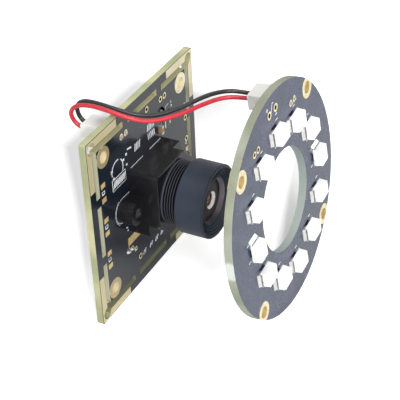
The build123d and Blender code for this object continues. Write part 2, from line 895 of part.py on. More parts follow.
# Wires: out of one plug, up and over the board's top edge, sagging across to the other plug
for name, route, start, finish in (
    ("black_wire", black_route, camera_pins[1], ring_pins[1]),
    ("red_wire", red_route, camera_pins[0], ring_pins[0]),
):
    corners = [behind(front(0), start, board_thick + contact_end)]
    corners += [Vector(x, -ahead, z) for x, z, ahead in route]
    corners.append(behind(ring_face, finish, ring_thick + contact_end + wire_straight))
    corners.append(behind(ring_face, finish, ring_thick + contact_end))
    bends = []
    for before, here, after in zip(corners, corners[1:], corners[2:]):
        turn = radians((here - before).get_angle(after - here))
        bends.append(0.45 * min((here - before).length, (after - here).length) / tan(turn / 2))
    with BuildPart() as wire:
        with BuildLine():
            run = FilletPolyline(*corners, radius=bends)
        with BuildSketch(Plane(origin=run @ 0, z_dir=run % 0)):
            Circle(wire_r)
        sweep(path=run)
    print(name, "length", round(run.length, 2), "volume over section times length",
          round(wire.part.volume / (pi * wire_r ** 2 * run.length), 4))
    print("  bend radii", [round(bend, 2) for bend in bends])
    save(wire.part, name)
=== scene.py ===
import math

import bpy
from mathutils import Matrix, Vector


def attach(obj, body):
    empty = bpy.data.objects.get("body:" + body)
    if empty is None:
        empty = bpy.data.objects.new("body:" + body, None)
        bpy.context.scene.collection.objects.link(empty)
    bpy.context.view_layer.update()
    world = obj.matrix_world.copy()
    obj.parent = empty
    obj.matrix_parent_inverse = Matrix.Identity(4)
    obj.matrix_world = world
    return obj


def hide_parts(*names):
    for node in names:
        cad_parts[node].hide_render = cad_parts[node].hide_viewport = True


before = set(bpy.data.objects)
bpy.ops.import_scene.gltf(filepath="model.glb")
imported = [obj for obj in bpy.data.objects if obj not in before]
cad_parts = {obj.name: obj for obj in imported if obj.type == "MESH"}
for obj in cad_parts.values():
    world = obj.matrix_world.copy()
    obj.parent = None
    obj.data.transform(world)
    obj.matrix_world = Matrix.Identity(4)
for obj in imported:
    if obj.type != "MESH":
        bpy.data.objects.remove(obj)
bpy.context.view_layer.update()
bpy.ops.object.select_all(action="DESELECT")

mm = 0.001


def metres(values):
    return [v * mm for v in values]


print("camera")
photoCamera = {
    "place": (-163.6, -99.1, 126.5),   # mm, in the part's own frame
    "turn": (55.62, 2.21, -63.12),     # degrees
    "lens": 112.5,
    "sensor": 36,
    "clip": (0.01, 20),                # m
}


def addCamera(c):
    data = bpy.data.cameras.new("photoCamera")
    data.lens = c["lens"]
    data.sensor_width = c["sensor"]
    data.clip_start, data.clip_end = c["clip"]
    camera = bpy.data.objects.new("photoCamera", data)
    camera.location = metres(c["place"])
    camera.rotation_euler = [math.radians(v) for v in c["turn"]]
    bpy.context.collection.objects.link(camera)
    bpy.context.scene.camera = camera


addCamera(photoCamera)


def tone(red, green, blue):
    # 0 to 255 as read off a screen, to the linear colour that a node takes
    def linear(v):
        v /= 255
        return v / 12.92 if v <= 0.04045 else ((v + 0.055) / 1.055) ** 2.4
    return (linear(red), linear(green), linear(blue), 1)


print("node groups")


def newGroup(name, inputs, outputs):
    group = bpy.data.node_groups.new(name, "ShaderNodeTree")
    for label, kind, value in inputs:
        socket = group.interface.new_socket(label, in_out="INPUT", socket_type=kind)
        socket.default_value = value
    for label, kind in outputs:
        group.interface.new_socket(label, in_out="OUTPUT", socket_type=kind)
    return group


def node(tree, kind, settings=None, **values):
    # Adds a node; values are its unlinked inputs, with spaces in their names written as _
    made = tree.nodes.new("ShaderNode" + kind)
    for key, value in (settings or {}).items():
        setattr(made, key, value)
    for key, value in values.items():
        made.inputs[key.replace("_", " ")].default_value = value
    return made


def link(tree, *pairs):
    for source, target in zip(pairs[::2], pairs[1::2]):
        tree.links.new(source, target)


def feed(tree, *pairs):
    # Each value is a socket to link, or a number, colour or vector for an input
    for value, target in zip(pairs[::2], pairs[1::2]):
        if isinstance(value, bpy.types.NodeSocket):
            tree.links.new(value, target)
        else:
            target.default_value = value


def mathOf(tree, operation, *values):
    made = node(tree, "Math", {"operation": operation})
    for value, target in zip(values, made.inputs):
        feed(tree, value, target)
    return made.outputs[0]


def vectorOf(tree, operation, *values):
    made = node(tree, "VectorMath", {"operation": operation})
    for value, target in zip(values, made.inputs):
        feed(tree, value, target)
    return made.outputs["Value" if operation in ("DOT_PRODUCT", "DISTANCE", "LENGTH") else "Vector"]


def split(tree, vector):
    parts = node(tree, "SeparateXYZ")
    link(tree, vector, parts.inputs[0])
    return parts.outputs


def mixColours(tree, factor, first, second, blend="MIX"):
    mix = node(tree, "Mix", {"data_type": "RGBA", "blend_type": blend})
    feed(tree, factor, mix.inputs[0], first, mix.inputs[6], second, mix.inputs[7])
    return mix.outputs[2]


def spanOf(tree, value, low, high, fromLow=0.0, fromHigh=1.0):
    # A value's range, stretched to another
    span = node(tree, "MapRange", {"clamp": True})
    ends = span.inputs
    feed(tree, value, ends["Value"], fromLow, ends["From Min"], fromHigh, ends["From Max"],
         low, ends["To Min"], high, ends["To Max"])
    return span.outputs[0]


def rise(tree, value, start, full):
    # 0 before start and 1 after full, in mm
    return spanOf(tree, value, 0.0, 1.0, start * mm, full * mm)


def fall(tree, value, start, gone):
    # 1 before start and 0 after gone, in mm
    return spanOf(tree, value, 1.0, 0.0, start * mm, gone * mm)


grainLook = {
    "patchSpan": (0.3, 0.7),     # most of the patches' noise lies between these
    "patchDetail": 3,
    "patchRough": 0.6,
    "grainDetail": 4,
    "grainRough": 0.7,
}


def grainGroup():
    # Uneven colour and gloss with fine grain, for any solid finish
    group = newGroup(
        "surfaceGrain",
        [
            ("Color", "NodeSocketColor", (0.5, 0.5, 0.5, 1)),
            ("Shade", "NodeSocketColor", (0.4, 0.4, 0.4, 1)),
            ("Patch Size", "NodeSocketFloat", 400),
            ("Grain Size", "NodeSocketFloat", 9000),
            ("Roughness Low", "NodeSocketFloat", 0.3),
            ("Roughness High", "NodeSocketFloat", 0.4),
        ],
        [("Color", "NodeSocketColor"), ("Roughness", "NodeSocketFloat"), ("Height", "NodeSocketFloat")],
    )
    inside = node(group, "TexCoord")
    ends = group.nodes.new("NodeGroupInput")
    out = group.nodes.new("NodeGroupOutput")
    patch = node(group, "TexNoise", Detail=grainLook["patchDetail"], Roughness=grainLook["patchRough"])
    grain = node(group, "TexNoise", Detail=grainLook["grainDetail"], Roughness=grainLook["grainRough"])
    for noise, size in ((patch, "Patch Size"), (grain, "Grain Size")):
        link(group, inside.outputs["Object"], noise.inputs["Vector"],
             ends.outputs[size], noise.inputs["Scale"])
    spread = spanOf(group, patch.outputs["Fac"], 0.0, 1.0, *grainLook["patchSpan"])
    shade = mixColours(group, spread, ends.outputs["Color"], ends.outputs["Shade"])
    gloss = spanOf(group, patch.outputs["Fac"], ends.outputs["Roughness Low"], ends.outputs["Roughness High"],
                   *grainLook["patchSpan"])
    link(group, shade, out.inputs["Color"], gloss, out.inputs["Roughness"],
         grain.outputs["Fac"], out.inputs["Height"])
    return group


laminateLook = {
    # scale, detail and so on of each pattern
    "layers": {"Scale": 1500, "Distortion": 0.6, "Detail": 2, "Detail_Scale": 3},
    "fray": {"Scale": 2600, "Detail": 4, "Roughness": 0.7},
    "stain": {"Scale": 120, "Detail": 2},
    # least and most of the cloth and of the stain, and the pattern's values where they begin and end
    "clothShare": (0.1, 0.9, 0.1, 0.6),
    "stainShare": (0.0, 0.7, 0.42, 0.62),
}


def laminateGroup():
    # Cut edge of the laminate: pale layers of glass cloth in resin. Direction is across the board.
    group = newGroup(
        "cutLaminate",
        [
            ("Direction", "NodeSocketVector", (0, 1, 0)),
            ("Resin", "NodeSocketColor", (0.6, 0.6, 0.4, 1)),
            ("Cloth", "NodeSocketColor", (0.8, 0.8, 0.6, 1)),
            ("Stain", "NodeSocketColor", (0.7, 0.7, 0.5, 1)),
        ],
        [("Color", "NodeSocketColor"), ("Height", "NodeSocketFloat")],
    )
    inside = node(group, "TexCoord")
    ends = group.nodes.new("NodeGroupInput")
    out = group.nodes.new("NodeGroupOutput")
    place = inside.outputs["Object"]
    line = node(group, "CombineXYZ")
    link(group, vectorOf(group, "DOT_PRODUCT", place, ends.outputs["Direction"]), line.inputs["X"])
    layers = node(group, "TexWave", {"wave_profile": "SIN"}, **laminateLook["layers"])
    fray = node(group, "TexNoise", **laminateLook["fray"])
    stain = node(group, "TexNoise", **laminateLook["stain"])
    link(group, line.outputs[0], layers.inputs["Vector"],
         place, fray.inputs["Vector"], place, stain.inputs["Vector"])
    both = mathOf(group, "MULTIPLY", layers.outputs["Fac"], fray.outputs["Fac"])
    layered = mixColours(group, spanOf(group, both, *laminateLook["clothShare"]), ends.outputs["Resin"],
                         ends.outputs["Cloth"])
    washed = mixColours(group, spanOf(group, stain.outputs["Fac"], *laminateLook["stainShare"]), layered,
                        ends.outputs["Stain"])
    link(group, washed, out.inputs["Color"], both, out.inputs["Height"])
    return group


surfaceGrain = grainGroup()
cutLaminate = laminateGroup()

print("finishes")


def newMaterial(name):
    material = bpy.data.materials.new(name)
    material.use_nodes = True
    tree = material.node_tree
    return material, tree, tree.nodes["Principled BSDF"]


def useGroup(tree, group, **values):
    made = tree.nodes.new("ShaderNodeGroup")
    made.node_tree = group
    for key, value in values.items():
        made.inputs[key.replace("_", " ")].default_value = value
    return made


def addGrain(tree, f):
    # Colour and gloss of a finish, from its row
    return useGroup(tree, surfaceGrain, Color=tone(*f["colour"]), Shade=tone(*f["shade"]),
                    Patch_Size=f["patch"], Grain_Size=f["grain"],
                    Roughness_Low=f["rough"][0], Roughness_High=f["rough"][1])


def dress(tree, shader, f, colour, gloss, height):
    # The last links of a finish: colour, gloss and fine relief
    bump = node(tree, "Bump", Strength=f["bump"], Distance=f["depth"] * mm)
    link(tree, colour, shader.inputs["Base Color"], gloss, shader.inputs["Roughness"],
         height, bump.inputs["Height"], bump.outputs["Normal"], shader.inputs["Normal"])
    for socket, value in f.get("shader", {}).items():
        shader.inputs[socket].default_value = value


usualFinish = {"patch": 400, "grain": 9000, "bump": 0.2, "depth": 0.02}    # depth in mm
flatSpan = (0.6, 0.8)    # how far a face looks out of the board, from a cut wall to the flat side


def plainFinish(name, row):
    # One finish from its row, and the usual values where it has none
    f = {**usualFinish, **row}
    material, tree, shader = newMaterial(name)
    grain = addGrain(tree, f)
    colour = grain.outputs["Color"]
    inside = node(tree, "TexCoord")
    wall = tone(*f.get("wall", f["colour"]))
    if "leftShadedColour" in f:
        # painted shade: a darker tone on the left half of the board, on the faces and the walls
        right = rise(tree, split(tree, inside.outputs["Object"])["X"], -1, 1)
        colour = mixColours(tree, right, tone(*f["leftShadedColour"]), colour)
        wall = mixColours(tree, right, tone(*f.get("leftShadedWall", f["leftShadedColour"])), wall)
    if "wall" in f:
        # painted light and shade: another tone where the surface runs through the board, on the hole walls
        facing = mathOf(tree, "ABSOLUTE", split(tree, inside.outputs["Normal"])["Y"])
        colour = mixColours(tree, spanOf(tree, facing, 0.0, 1.0, *flatSpan), wall, colour)
    dress(tree, shader, f, colour, grain.outputs["Roughness"], grain.outputs["Height"])
    return material


finishes = {
    # its wall tone is painted shade on the hole walls
    "goldPlate": {"colour": (214, 200, 158), "shade": (240, 230, 198), "rough": (0.26, 0.4),
                  "wall": (214, 192, 136), "patch": 900, "grain": 6000, "shader": {"Metallic": 0.5}},
    # its wall tone is painted light on the hole walls, and its left-half tones are painted shade
    "holeGold": {"colour": (228, 216, 180), "shade": (244, 236, 208), "rough": (0.26, 0.4),
                 "wall": (238, 226, 186), "leftShadedColour": (176, 158, 118), "leftShadedWall": (226, 212, 176),
                 "patch": 900, "grain": 6000, "shader": {"Metallic": 0.4}},
    "padGold": {"colour": (206, 176, 116), "shade": (226, 202, 150), "rough": (0.28, 0.42),
                "patch": 900, "grain": 6000, "shader": {"Metallic": 0.4}},
    # its wall tone is painted shade inside the small holes
    "goldRing": {"colour": (222, 208, 162), "shade": (240, 230, 196), "rough": (0.26, 0.4),
                 "wall": (70, 58, 40), "patch": 900, "grain": 6000, "shader": {"Metallic": 0.5}},
    # its left-half tone is painted shade
    "landGold": {"colour": (210, 198, 164), "shade": (228, 218, 188), "rough": (0.34, 0.5),
                 "leftShadedColour": (196, 184, 146), "patch": 260, "grain": 5000, "shader": {"Metallic": 0.3}},
    "holderBlack": {"colour": (20, 20, 23), "shade": (24, 24, 27), "rough": (0.2, 0.26),
                    "patch": 300, "grain": 12000, "bump": 0.05, "depth": 0.005,
                    "shader": {"Specular IOR Level": 0.35}},
    "mattBlack": {"colour": (14, 14, 15), "shade": (20, 20, 21), "rough": (0.6, 0.75)},
    "screwSteel": {"colour": (172, 172, 174), "shade": (190, 190, 190), "rough": (0.22, 0.38),
                   "shader": {"Metallic": 1.0}},
    "chipBlack": {"colour": (30, 30, 32), "shade": (40, 40, 42), "rough": (0.5, 0.66), "bump": 0.4},
    "sensorFrame": {"colour": (46, 46, 50), "shade": (60, 60, 64), "rough": (0.4, 0.55)},
    "tin": {"colour": (206, 206, 202), "shade": (228, 228, 224), "rough": (0.24, 0.42),
            "patch": 1500, "grain": 5000, "bump": 0.3, "shader": {"Metallic": 0.9}},
    "ceramicTan": {"colour": (150, 116, 76), "shade": (166, 132, 92), "rough": (0.45, 0.6)},
    "resistorBlack": {"colour": (24, 24, 27), "shade": (34, 34, 37), "rough": (0.15, 0.3)},
    "ferrite": {"colour": (62, 62, 64), "shade": (78, 78, 80), "rough": (0.6, 0.75), "bump": 0.5},
    "crystalLid": {"colour": (196, 196, 192), "shade": (214, 214, 210), "rough": (0.25, 0.4),
                   "shader": {"Metallic": 1.0}},
    "nylonWhite": {"colour": (240, 240, 234), "shade": (248, 247, 243), "rough": (0.35, 0.5),
                   "shader": {"Subsurface Weight": 0.15, "Subsurface Radius": (0.6, 0.6, 0.5),
                              "Subsurface Scale": 0.001}},
    "lampWhite": {"colour": (247, 247, 246), "shade": (252, 252, 251), "rough": (0.25, 0.4),
                  "shader": {"Subsurface Weight": 0.1, "Subsurface Radius": (0.6, 0.6, 0.6),
                             "Subsurface Scale": 0.0008}},
    "lampGel": {"colour": (250, 249, 238), "shade": (252, 251, 244), "rough": (0.1, 0.2),
                "shader": {"Coat Weight": 0.5, "Coat Roughness": 0.05}},
    "printWhite": {"colour": (236, 238, 240), "shade": (214, 218, 222), "rough": (0.5, 0.6),
                   "patch": 3000, "grain": 9000},
    # flat black without gloss: small chip bodies, a thin dark part, and painted shadow strips
    "gapBlack": {"colour": (8, 8, 10), "shade": (14, 14, 16), "rough": (0.8, 0.9),
                 "shader": {"Specular IOR Level": 0.0}},
    "wireRed": {"colour": (184, 34, 48), "shade": (200, 46, 60), "rough": (0.32, 0.42),
                "patch": 900, "grain": 6000, "bump": 0.15,
                "shader": {"Subsurface Weight": 0.08, "Subsurface Radius": (1.0, 0.2, 0.2),
                           "Subsurface Scale": 0.0005}},
    "wireBlack": {"colour": (30, 31, 34), "shade": (40, 41, 44), "rough": (0.3, 0.42),
                  "patch": 900, "grain": 6000, "bump": 0.15},
    "solder": {"colour": (214, 216, 216), "shade": (232, 233, 232), "rough": (0.12, 0.25),
               "patch": 2500, "grain": 4000, "bump": 0.4, "shader": {"Metallic": 1.0}},
}
materials = {name: plainFinish(name, row) for name, row in finishes.items()}

boardFinish = {
    # the mask
    "colour": (16, 22, 31),
    "shade": (24, 31, 42),
    "rough": (0.13, 0.2),
    "patch": 260,
    "grain": 2200,
    # the cut edge
    "resin": (142, 144, 104),
    "cloth": (168, 176, 144),
    "stain": (200, 196, 154),
    "edgeRough": 0.62,
    # painted light and shade on the walls of the openings, from low to high, darkest low down, and the
    # heights in mm where one tone gives way to the next
    "inner": [(142, 140, 112), (206, 206, 186), (206, 196, 150)],
    "innerFades": [(-16.2, -15.4), (15.4, 16.2)],
    "innerReach": (18.6, 18.7),    # mm from the middle, across or up, to the end of the openings
    "innerShare": 0.5,             # how much of the cut edge's pattern they show
    "bump": 0.25,
    "depth": 0.03,
}
ringFinish = {
    **boardFinish,
    "colour": (46, 60, 74),
    "shade": (66, 68, 92),
    "rough": (0.22, 0.3),
    "resin": (124, 126, 102),
    "cloth": (148, 158, 142),
    "stain": (162, 164, 150),
    # painted light and shade on the walls of its openings, a little darker high up
    "inner": [(190, 200, 198), (178, 188, 188)],
    "innerFades": [(-7.0, 2.0)],
    "innerReach": (15.0, 15.1),    # mm from the middle
    # a pale stretch of the rim: its tone, place, and the distances in mm where it begins to fade and ends
    "paleStretch": (212, 219, 214),
    "paleStretchPlace": (-19.28, -26.08, 1.38),
    "paleStretchReach": (1.5, 2.1),
    "paleStretchShare": 0.8,
}
ringNormal = (0.010472, -0.99583, 0.090628)    # out of the ring's front face
ringOrigin = (2.2, -26.5, 2.547463)            # mm, the middle of that face
cornerShare = 0.54


def boardReach(tree, place):
    # Distance from the board's middle, across or up, whichever is more, and a little over half of
    # both at the corners, where the round cuts are as pale as the rim
    apart = vectorOf(tree, "ABSOLUTE", place)
    parts = split(tree, apart)
    corner = vectorOf(tree, "DOT_PRODUCT", apart, (cornerShare, 0, cornerShare))
    return mathOf(tree, "MAXIMUM", mathOf(tree, "MAXIMUM", parts["X"], parts["Z"]), corner)


def ringReach(tree, place):
    return vectorOf(tree, "DISTANCE", place, metres(ringOrigin))


def boardMaterial(name, f, normal, reachOf):
    # Glossy mask on the two faces, bare laminate wherever the board was cut, painted light and shade by
    # height on the walls of its openings
    material, tree, shader = newMaterial(name)
    inside = node(tree, "TexCoord")
    place = inside.outputs["Object"]
    facing = mathOf(tree, "ABSOLUTE", vectorOf(tree, "DOT_PRODUCT", inside.outputs["Normal"], normal))
    masked = spanOf(tree, facing, 0.0, 1.0, *flatSpan)
    grain = addGrain(tree, f)
    edge = useGroup(tree, cutLaminate, Direction=normal, Resin=tone(*f["resin"]), Cloth=tone(*f["cloth"]),
                    Stain=tone(*f["stain"]))
    # painted light and shade on the walls of the openings, by height
    wall = tone(*f["inner"][0])
    for colour, fade in zip(f["inner"][1:], f["innerFades"]):
        wall = mixColours(tree, rise(tree, split(tree, place)["Z"], *fade), wall, tone(*colour))
    opening = mixColours(tree, f["innerShare"], wall, edge.outputs["Color"], "MULTIPLY")
    outside = rise(tree, reachOf(tree, place), *f["innerReach"])
    cut = mixColours(tree, outside, opening, edge.outputs["Color"])
    if "paleStretch" in f:
        away = vectorOf(tree, "DISTANCE", place, metres(f["paleStretchPlace"]))
        paleStretchMask = spanOf(tree, away, f["paleStretchShare"], 0.0, *metres(f["paleStretchReach"]))
        cut = mixColours(tree, paleStretchMask, cut, tone(*f["paleStretch"]))
    colour = mixColours(tree, masked, cut, grain.outputs["Color"])
    gloss = spanOf(tree, masked, f["edgeRough"], grain.outputs["Roughness"])
    height = spanOf(tree, masked, edge.outputs["Height"], grain.outputs["Height"])
    dress(tree, shader, f, colour, gloss, height)
    return material


materials["boardMask"] = boardMaterial("boardMask", boardFinish, (0.0, 1.0, 0.0), boardReach)
materials["ringMask"] = boardMaterial("ringMask", ringFinish, ringNormal, ringReach)


retainerFinish = {
    "colour": (17, 13, 13),
    "shade": (27, 20, 18),
    "rough": (0.42, 0.55),
    "patch": 800,
    "grain": 9000,
    "throatReflection": (150, 92, 56),         # painted reflection of the coated glass, inside the eye
    "throatReach": (1.33, 1.36),     # mm from the lens axis, and so are the next ones
    "lipHighlight": (252, 252, 250),          # painted highlight on the edge round the eye
    "lipReach": (1.66, 1.69),
    "wall": (132, 122, 130),         # painted light on the side of the dish
    "wallReach": (3.95, 3.98),
    "wallShare": (0.12, 1.0),        # how much of that painted light it has below and above, so the side darkens low down
    "wallFade": (-4.2, -1.6),        # these heights in mm
    "bump": 0.1,
    "depth": 0.01,
}


def lensReach(tree, place):
    # Distance from the lens axis
    return vectorOf(tree, "LENGTH", vectorOf(tree, "MULTIPLY", place, (1, 0, 1)))


def retainerMaterial(name, f):
    # Black dish with painted light on its side, a painted highlight on the narrow lip and a painted
    # reflection of the coated glass inside the eye
    material, tree, shader = newMaterial(name)
    place = node(tree, "TexCoord").outputs["Object"]
    reach = lensReach(tree, place)
    grain = addGrain(tree, f)
    lit = spanOf(tree, split(tree, place)["Z"], *f["wallShare"], *metres(f["wallFade"]))
    litSide = mathOf(tree, "MULTIPLY", rise(tree, reach, *f["wallReach"]), lit)
    litDish = mixColours(tree, litSide, grain.outputs["Color"], tone(*f["wall"]))
    highlightedDish = mixColours(tree, fall(tree, reach, *f["lipReach"]), litDish, tone(*f["lipHighlight"]))
    colour = mixColours(tree, fall(tree, reach, *f["throatReach"]), highlightedDish, tone(*f["throatReflection"]))
    dress(tree, shader, f, colour, grain.outputs["Roughness"], grain.outputs["Height"])
    return material


materials["retainerBlack"] = retainerMaterial("retainerBlack", retainerFinish)

barrelFinish = {
    "colour": (45, 52, 64),
    "shade": (51, 58, 70),
    "rough": (0.4, 0.48),
    "patch": 300,
    "grain": 12000,
    "grooveShade": (8, 8, 10),              # painted shade between the threads
    "crestHighlight": (70, 72, 82),              # painted highlight on the crests of the thread and of the steps in the mouth
    "crestReach": (5.96, 5.99),        # mm from the lens axis
    "neck": (5.89, 5.9, 8.75, 8.76),   # mm over the board, from nothing to full and back
    "mouth": (13.49, 13.5, 14.3, 14.31),
    "stepReach": (6.23, 6.35),
    "stepWidth": 0.4625,
    "bump": 0.05,
    "depth": 0.005,
    "shader": {"Specular IOR Level": 0.2},
}


def between(tree, value, row):
    # 1 in the middle of a row of four places in mm, and 0 outside
    return mathOf(tree, "MULTIPLY", rise(tree, value, *row[:2]), fall(tree, value, *row[2:]))


def barrelMaterial(name, f):
    # Black anodised metal, with painted shade between the threads and painted highlights on the narrow crests
    material, tree, shader = newMaterial(name)
    place = node(tree, "TexCoord").outputs["Object"]
    reach = lensReach(tree, place)
    ahead = mathOf(tree, "MULTIPLY", split(tree, place)["Y"], -1)
    neck = between(tree, ahead, f["neck"])
    crest = mathOf(tree, "MULTIPLY", neck, rise(tree, reach, *f["crestReach"]))
    edge = f["stepReach"][1]
    along = mathOf(tree, "WRAP", reach, edge * mm, (edge - f["stepWidth"]) * mm)
    step = mathOf(tree, "MULTIPLY", between(tree, ahead, f["mouth"]), rise(tree, along, *f["stepReach"]))
    grain = addGrain(tree, f)
    grooveShaded = mixColours(tree, neck, grain.outputs["Color"], tone(*f["grooveShade"]))
    colour = mixColours(tree, mathOf(tree, "MAXIMUM", crest, step), grooveShaded, tone(*f["crestHighlight"]))
    dress(tree, shader, f, colour, grain.outputs["Roughness"], grain.outputs["Height"])
    return material


materials["barrelBlack"] = barrelMaterial("barrelBlack", barrelFinish)

glassFinishes = {
    # film is the coating's thickness in nm
    "lensGlass": {"tint": (186, 104, 58), "film": 240, "clear": 0.8},
    "filterGlass": {"tint": (196, 236, 226), "film": 330, "clear": 1.0},
}
glassLook = {"bends": 1.8, "filmBends": 1.38, "rough": (0.0, 0.03), "patch": 500, "grain": 3000}


def glassMaterial(name, f):
    # Clear tinted glass with a coating and a faint smear
    material, tree, shader = newMaterial(name)
    low, high = glassLook["rough"]
    smear = useGroup(tree, surfaceGrain, Patch_Size=glassLook["patch"], Grain_Size=glassLook["grain"],
                     Roughness_Low=low, Roughness_High=high)
    link(tree, smear.outputs["Roughness"], shader.inputs["Roughness"])
    values = {"Base Color": tone(*f["tint"]), "Transmission Weight": f["clear"], "IOR": glassLook["bends"],
              "Thin Film Thickness": f["film"], "Thin Film IOR": glassLook["filmBends"]}
    for socket, value in values.items():
        shader.inputs[socket].default_value = value
    return material


for name, row in glassFinishes.items():
    materials[name] = glassMaterial(name, row)

nodeFinish = {
    "boardMask": ["camera_board"],
    "ringMask": ["ring_board"],
    "goldPlate": ["ring_hole_plating"],
    "holeGold": ["board_hole_plating"],
    "padGold": ["board_contact_pads"],
    "goldRing": ["board_pin_rings", "ring_pin_rings", "ring_feed_rings"],
    "landGold": ["board_edge_lands"],
    "holderBlack": ["lens_holder"],
    "barrelBlack": ["lens_barrel"],
    "retainerBlack": ["front_retainer"],
    "mattBlack": ["rear_retainer", "lens_spacer_ring", "aperture_stop"],
    "lensGlass": ["front_element", "middle_element", "rear_element", "sensor_cover_glass"],
    "filterGlass": ["infrared_filter"],
    "screwSteel": ["holder_screws"],
    "chipBlack": ["image_processor", "flash_memory", "voltage_regulator"],
    "sensorFrame": ["image_sensor"],
    "tin": ["flash_memory_leads", "regulator_leads", "chip_end_caps", "ring_resistor_ends", "lamp_leads",
            "camera_light_pins", "ring_light_pins", "data_header_pins", "camera_plug_contacts",
            "ring_plug_contacts"],
    "ceramicTan": ["chip_capacitors"],
    "resistorBlack": ["chip_resistors", "ring_resistors"],
    "ferrite": ["power_inductors"],
    "crystalLid": ["crystal"],
    "nylonWhite": ["camera_light_header", "ring_light_header", "camera_light_plug", "ring_light_plug",
                   "data_header"],
    "lampWhite": [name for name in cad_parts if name.removeprefix("lamp_").isdigit()],
    "lampGel": ["lamp_filling"],
}
for finish, names in nodeFinish.items():
    for name in names:
        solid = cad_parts[name].data
        solid.materials.clear()
        solid.materials.append(materials[finish])

print("wires")
wires = {
    "blackWire": {
        "node": "black_wire", "finish": "wireBlack", "slot": "wire_black", "length": 42.3,
        "route": [(-6.25, 6.0, 14.5), (-6.3, 7.9, 14.5), (-6.35, 9.3, 15.9), (-6.5, 9.4, 18.0),
                  (-6.7, 7.9, 19.4), (-7.1, 5.1, 19.85), (-7.4, 1.6, 19.7), (-6.9, -2.0, 19.0),
                  (-4.2, -5.0, 17.85), (0.2, -8.1, 18.05), (4.9, -10.5, 18.55), (8.2, -13.1, 18.3),
                  (9.18, -16.39, 17.95), (9.21, -18.78, 18.16)],
    },
    "redWire": {
        "node": "red_wire", "finish": "wireRed", "slot": "wire_red", "length": 42.7,
        "route": [(-7.75, 6.0, 14.5), (-7.8, 7.9, 14.5), (-8.0, 9.4, 15.8), (-8.3, 9.6, 17.7),
                  (-8.5, 8.1, 19.35), (-8.7, 5.2, 20.1), (-8.8, 1.8, 20.0), (-8.6, -1.6, 19.3),
                  (-6.3, -4.9, 17.7), (-1.6, -8.2, 17.4), (3.3, -10.9, 17.8), (6.6, -13.2, 17.85),
                  (7.69, -16.42, 17.81), (7.72, -18.81, 18.02)],
    },
}
wireWidth = 0.8
wireSmooth = {"along": 16, "round": 8}


def addWire(name, w):
    curve = bpy.data.curves.new(name, "CURVE")
    curve.dimensions = "3D"
    spline = curve.splines.new("NURBS")
    spline.points.add(len(w["route"]) - 1)
    for point, place in zip(spline.points, w["route"]):
        point.co = (*metres(place), 1)
    spline.order_u = 3    # low, so that the wire stays close to its points
    spline.use_endpoint_u = True
    curve.resolution_u = wireSmooth["along"]
    curve.bevel_depth = wireWidth / 2 * mm
    curve.bevel_resolution = wireSmooth["round"]
    curve.use_fill_caps = True
    curve.materials.append(materials[w["finish"]])
    wire = bpy.data.objects.new(name, curve)
    bpy.context.collection.objects.link(wire)
    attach(wire, "root")
    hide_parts(w["node"])


for name, w in wires.items():
    addWire(name, w)

print("printed marks")
cameraPrint = {
    # local x and y are the board's x and z, and local z is out of its front face
    "origin": (0.0, 0.0, 0.0), "across": (1.0, 0.0, 0.0),
    "up": (0.0, 0.0, 1.0), "normal": (0.0, -1.0, 0.0),
    # width, then the points, in mm
    "lines": [
        (0.34, (-6.2, 11.05), (-4.8, 10.75)),
        (0.5, (-6.9, 10.35), (-6.4, 10.25)), (0.5, (-7.9, 9.8), (-7.4, 9.7)),
        (0.45, (-6.9, 8.3), (-6.5, 8.2)), (0.6, (-11.95, 9.55), (-11.4, 9.45)),
        (0.5, (-11.4, 8.1), (-11.1, 7.8)),
        (0.16, (-11.8, 7.7), (-7.3, 7.7), (-7.3, 5.5), (-11.8, 5.5), (-11.8, 7.7)),
        (0.14, (-5.4, 6.75), (-1.05, 6.75)), (0.14, (1.46, 6.75), (5.6, 6.75)),
        (0.14, (-6.5, 5.96), (-6.5, 2.45)), (0.14, (-6.56, 2.42), (-9.1, 2.5)),
        (0.22, (7.4, 11.5), (7.9, 12.0), (9.2, 12.15)), (0.5, (10.1, 11.3), (10.4, 11.0)),
        (0.3, (10.2, 11.7), (10.2, 12.3)), (0.45, (15.1, 8.8), (15.5, 8.8)),
        (0.2, (14.8, 0.5), (15.3, -0.1), (15.4, 0.6)),
        (0.28, (-8.6, -4.2), (-8.1, -4.5)), (0.28, (-8.3, -5.0), (-7.9, -5.2)),
        (0.13, (6.3, 7.7), (6.3, 10.1)),
        # along the lower edge
        (0.36, (-3.4, -13.8), (-3.05, -12.9), (-2.75, -13.7), (-2.4, -12.8)),
        (0.36, (-0.9, -13.8), (-0.55, -12.9), (-0.25, -13.7), (0.1, -12.8)),
        (0.36, (1.3, -13.8), (1.65, -12.9), (1.95, -13.7), (2.3, -12.8)),
        (0.42, (3.4, -13.7), (3.75, -12.7), (4.05, -13.6), (4.45, -12.6)),
    ],
    # small frames between the pads on the left: x, z, width, height and the line's width
    "frames": [(-14.9, 7.22, 0.8, 0.6, 0.2), (-14.9, 0.1, 0.8, 0.6, 0.2), (-14.9, -7.0, 0.8, 0.6, 0.2)],
    # x, z, radius, from and to in degrees, width
    "arcs": [
        (-9.8, 9.0, 1.9, 75, 195, 0.26), (-9.8, 9.0, 1.9, -35, 50, 0.26),
        (-9.1, 0.0, 2.5, 90, 262, 0.11), (-8.9, 0.0, 2.9, 120, 235, 0.07),
    ],
    # x, z, length, width, how many, step across, lean in degrees
    "bars": [
        (-11.2, 6.6, 1.5, 0.26, 8, 0.5, 62),
        (-3.5, 9.9, 1.5, 0.3, 4, 0.55, 80),
        (1.3, 11.2, 1.3, 0.3, 5, 0.55, 84), (1.3, 9.4, 1.3, 0.3, 5, 0.55, 96),
    ],
}
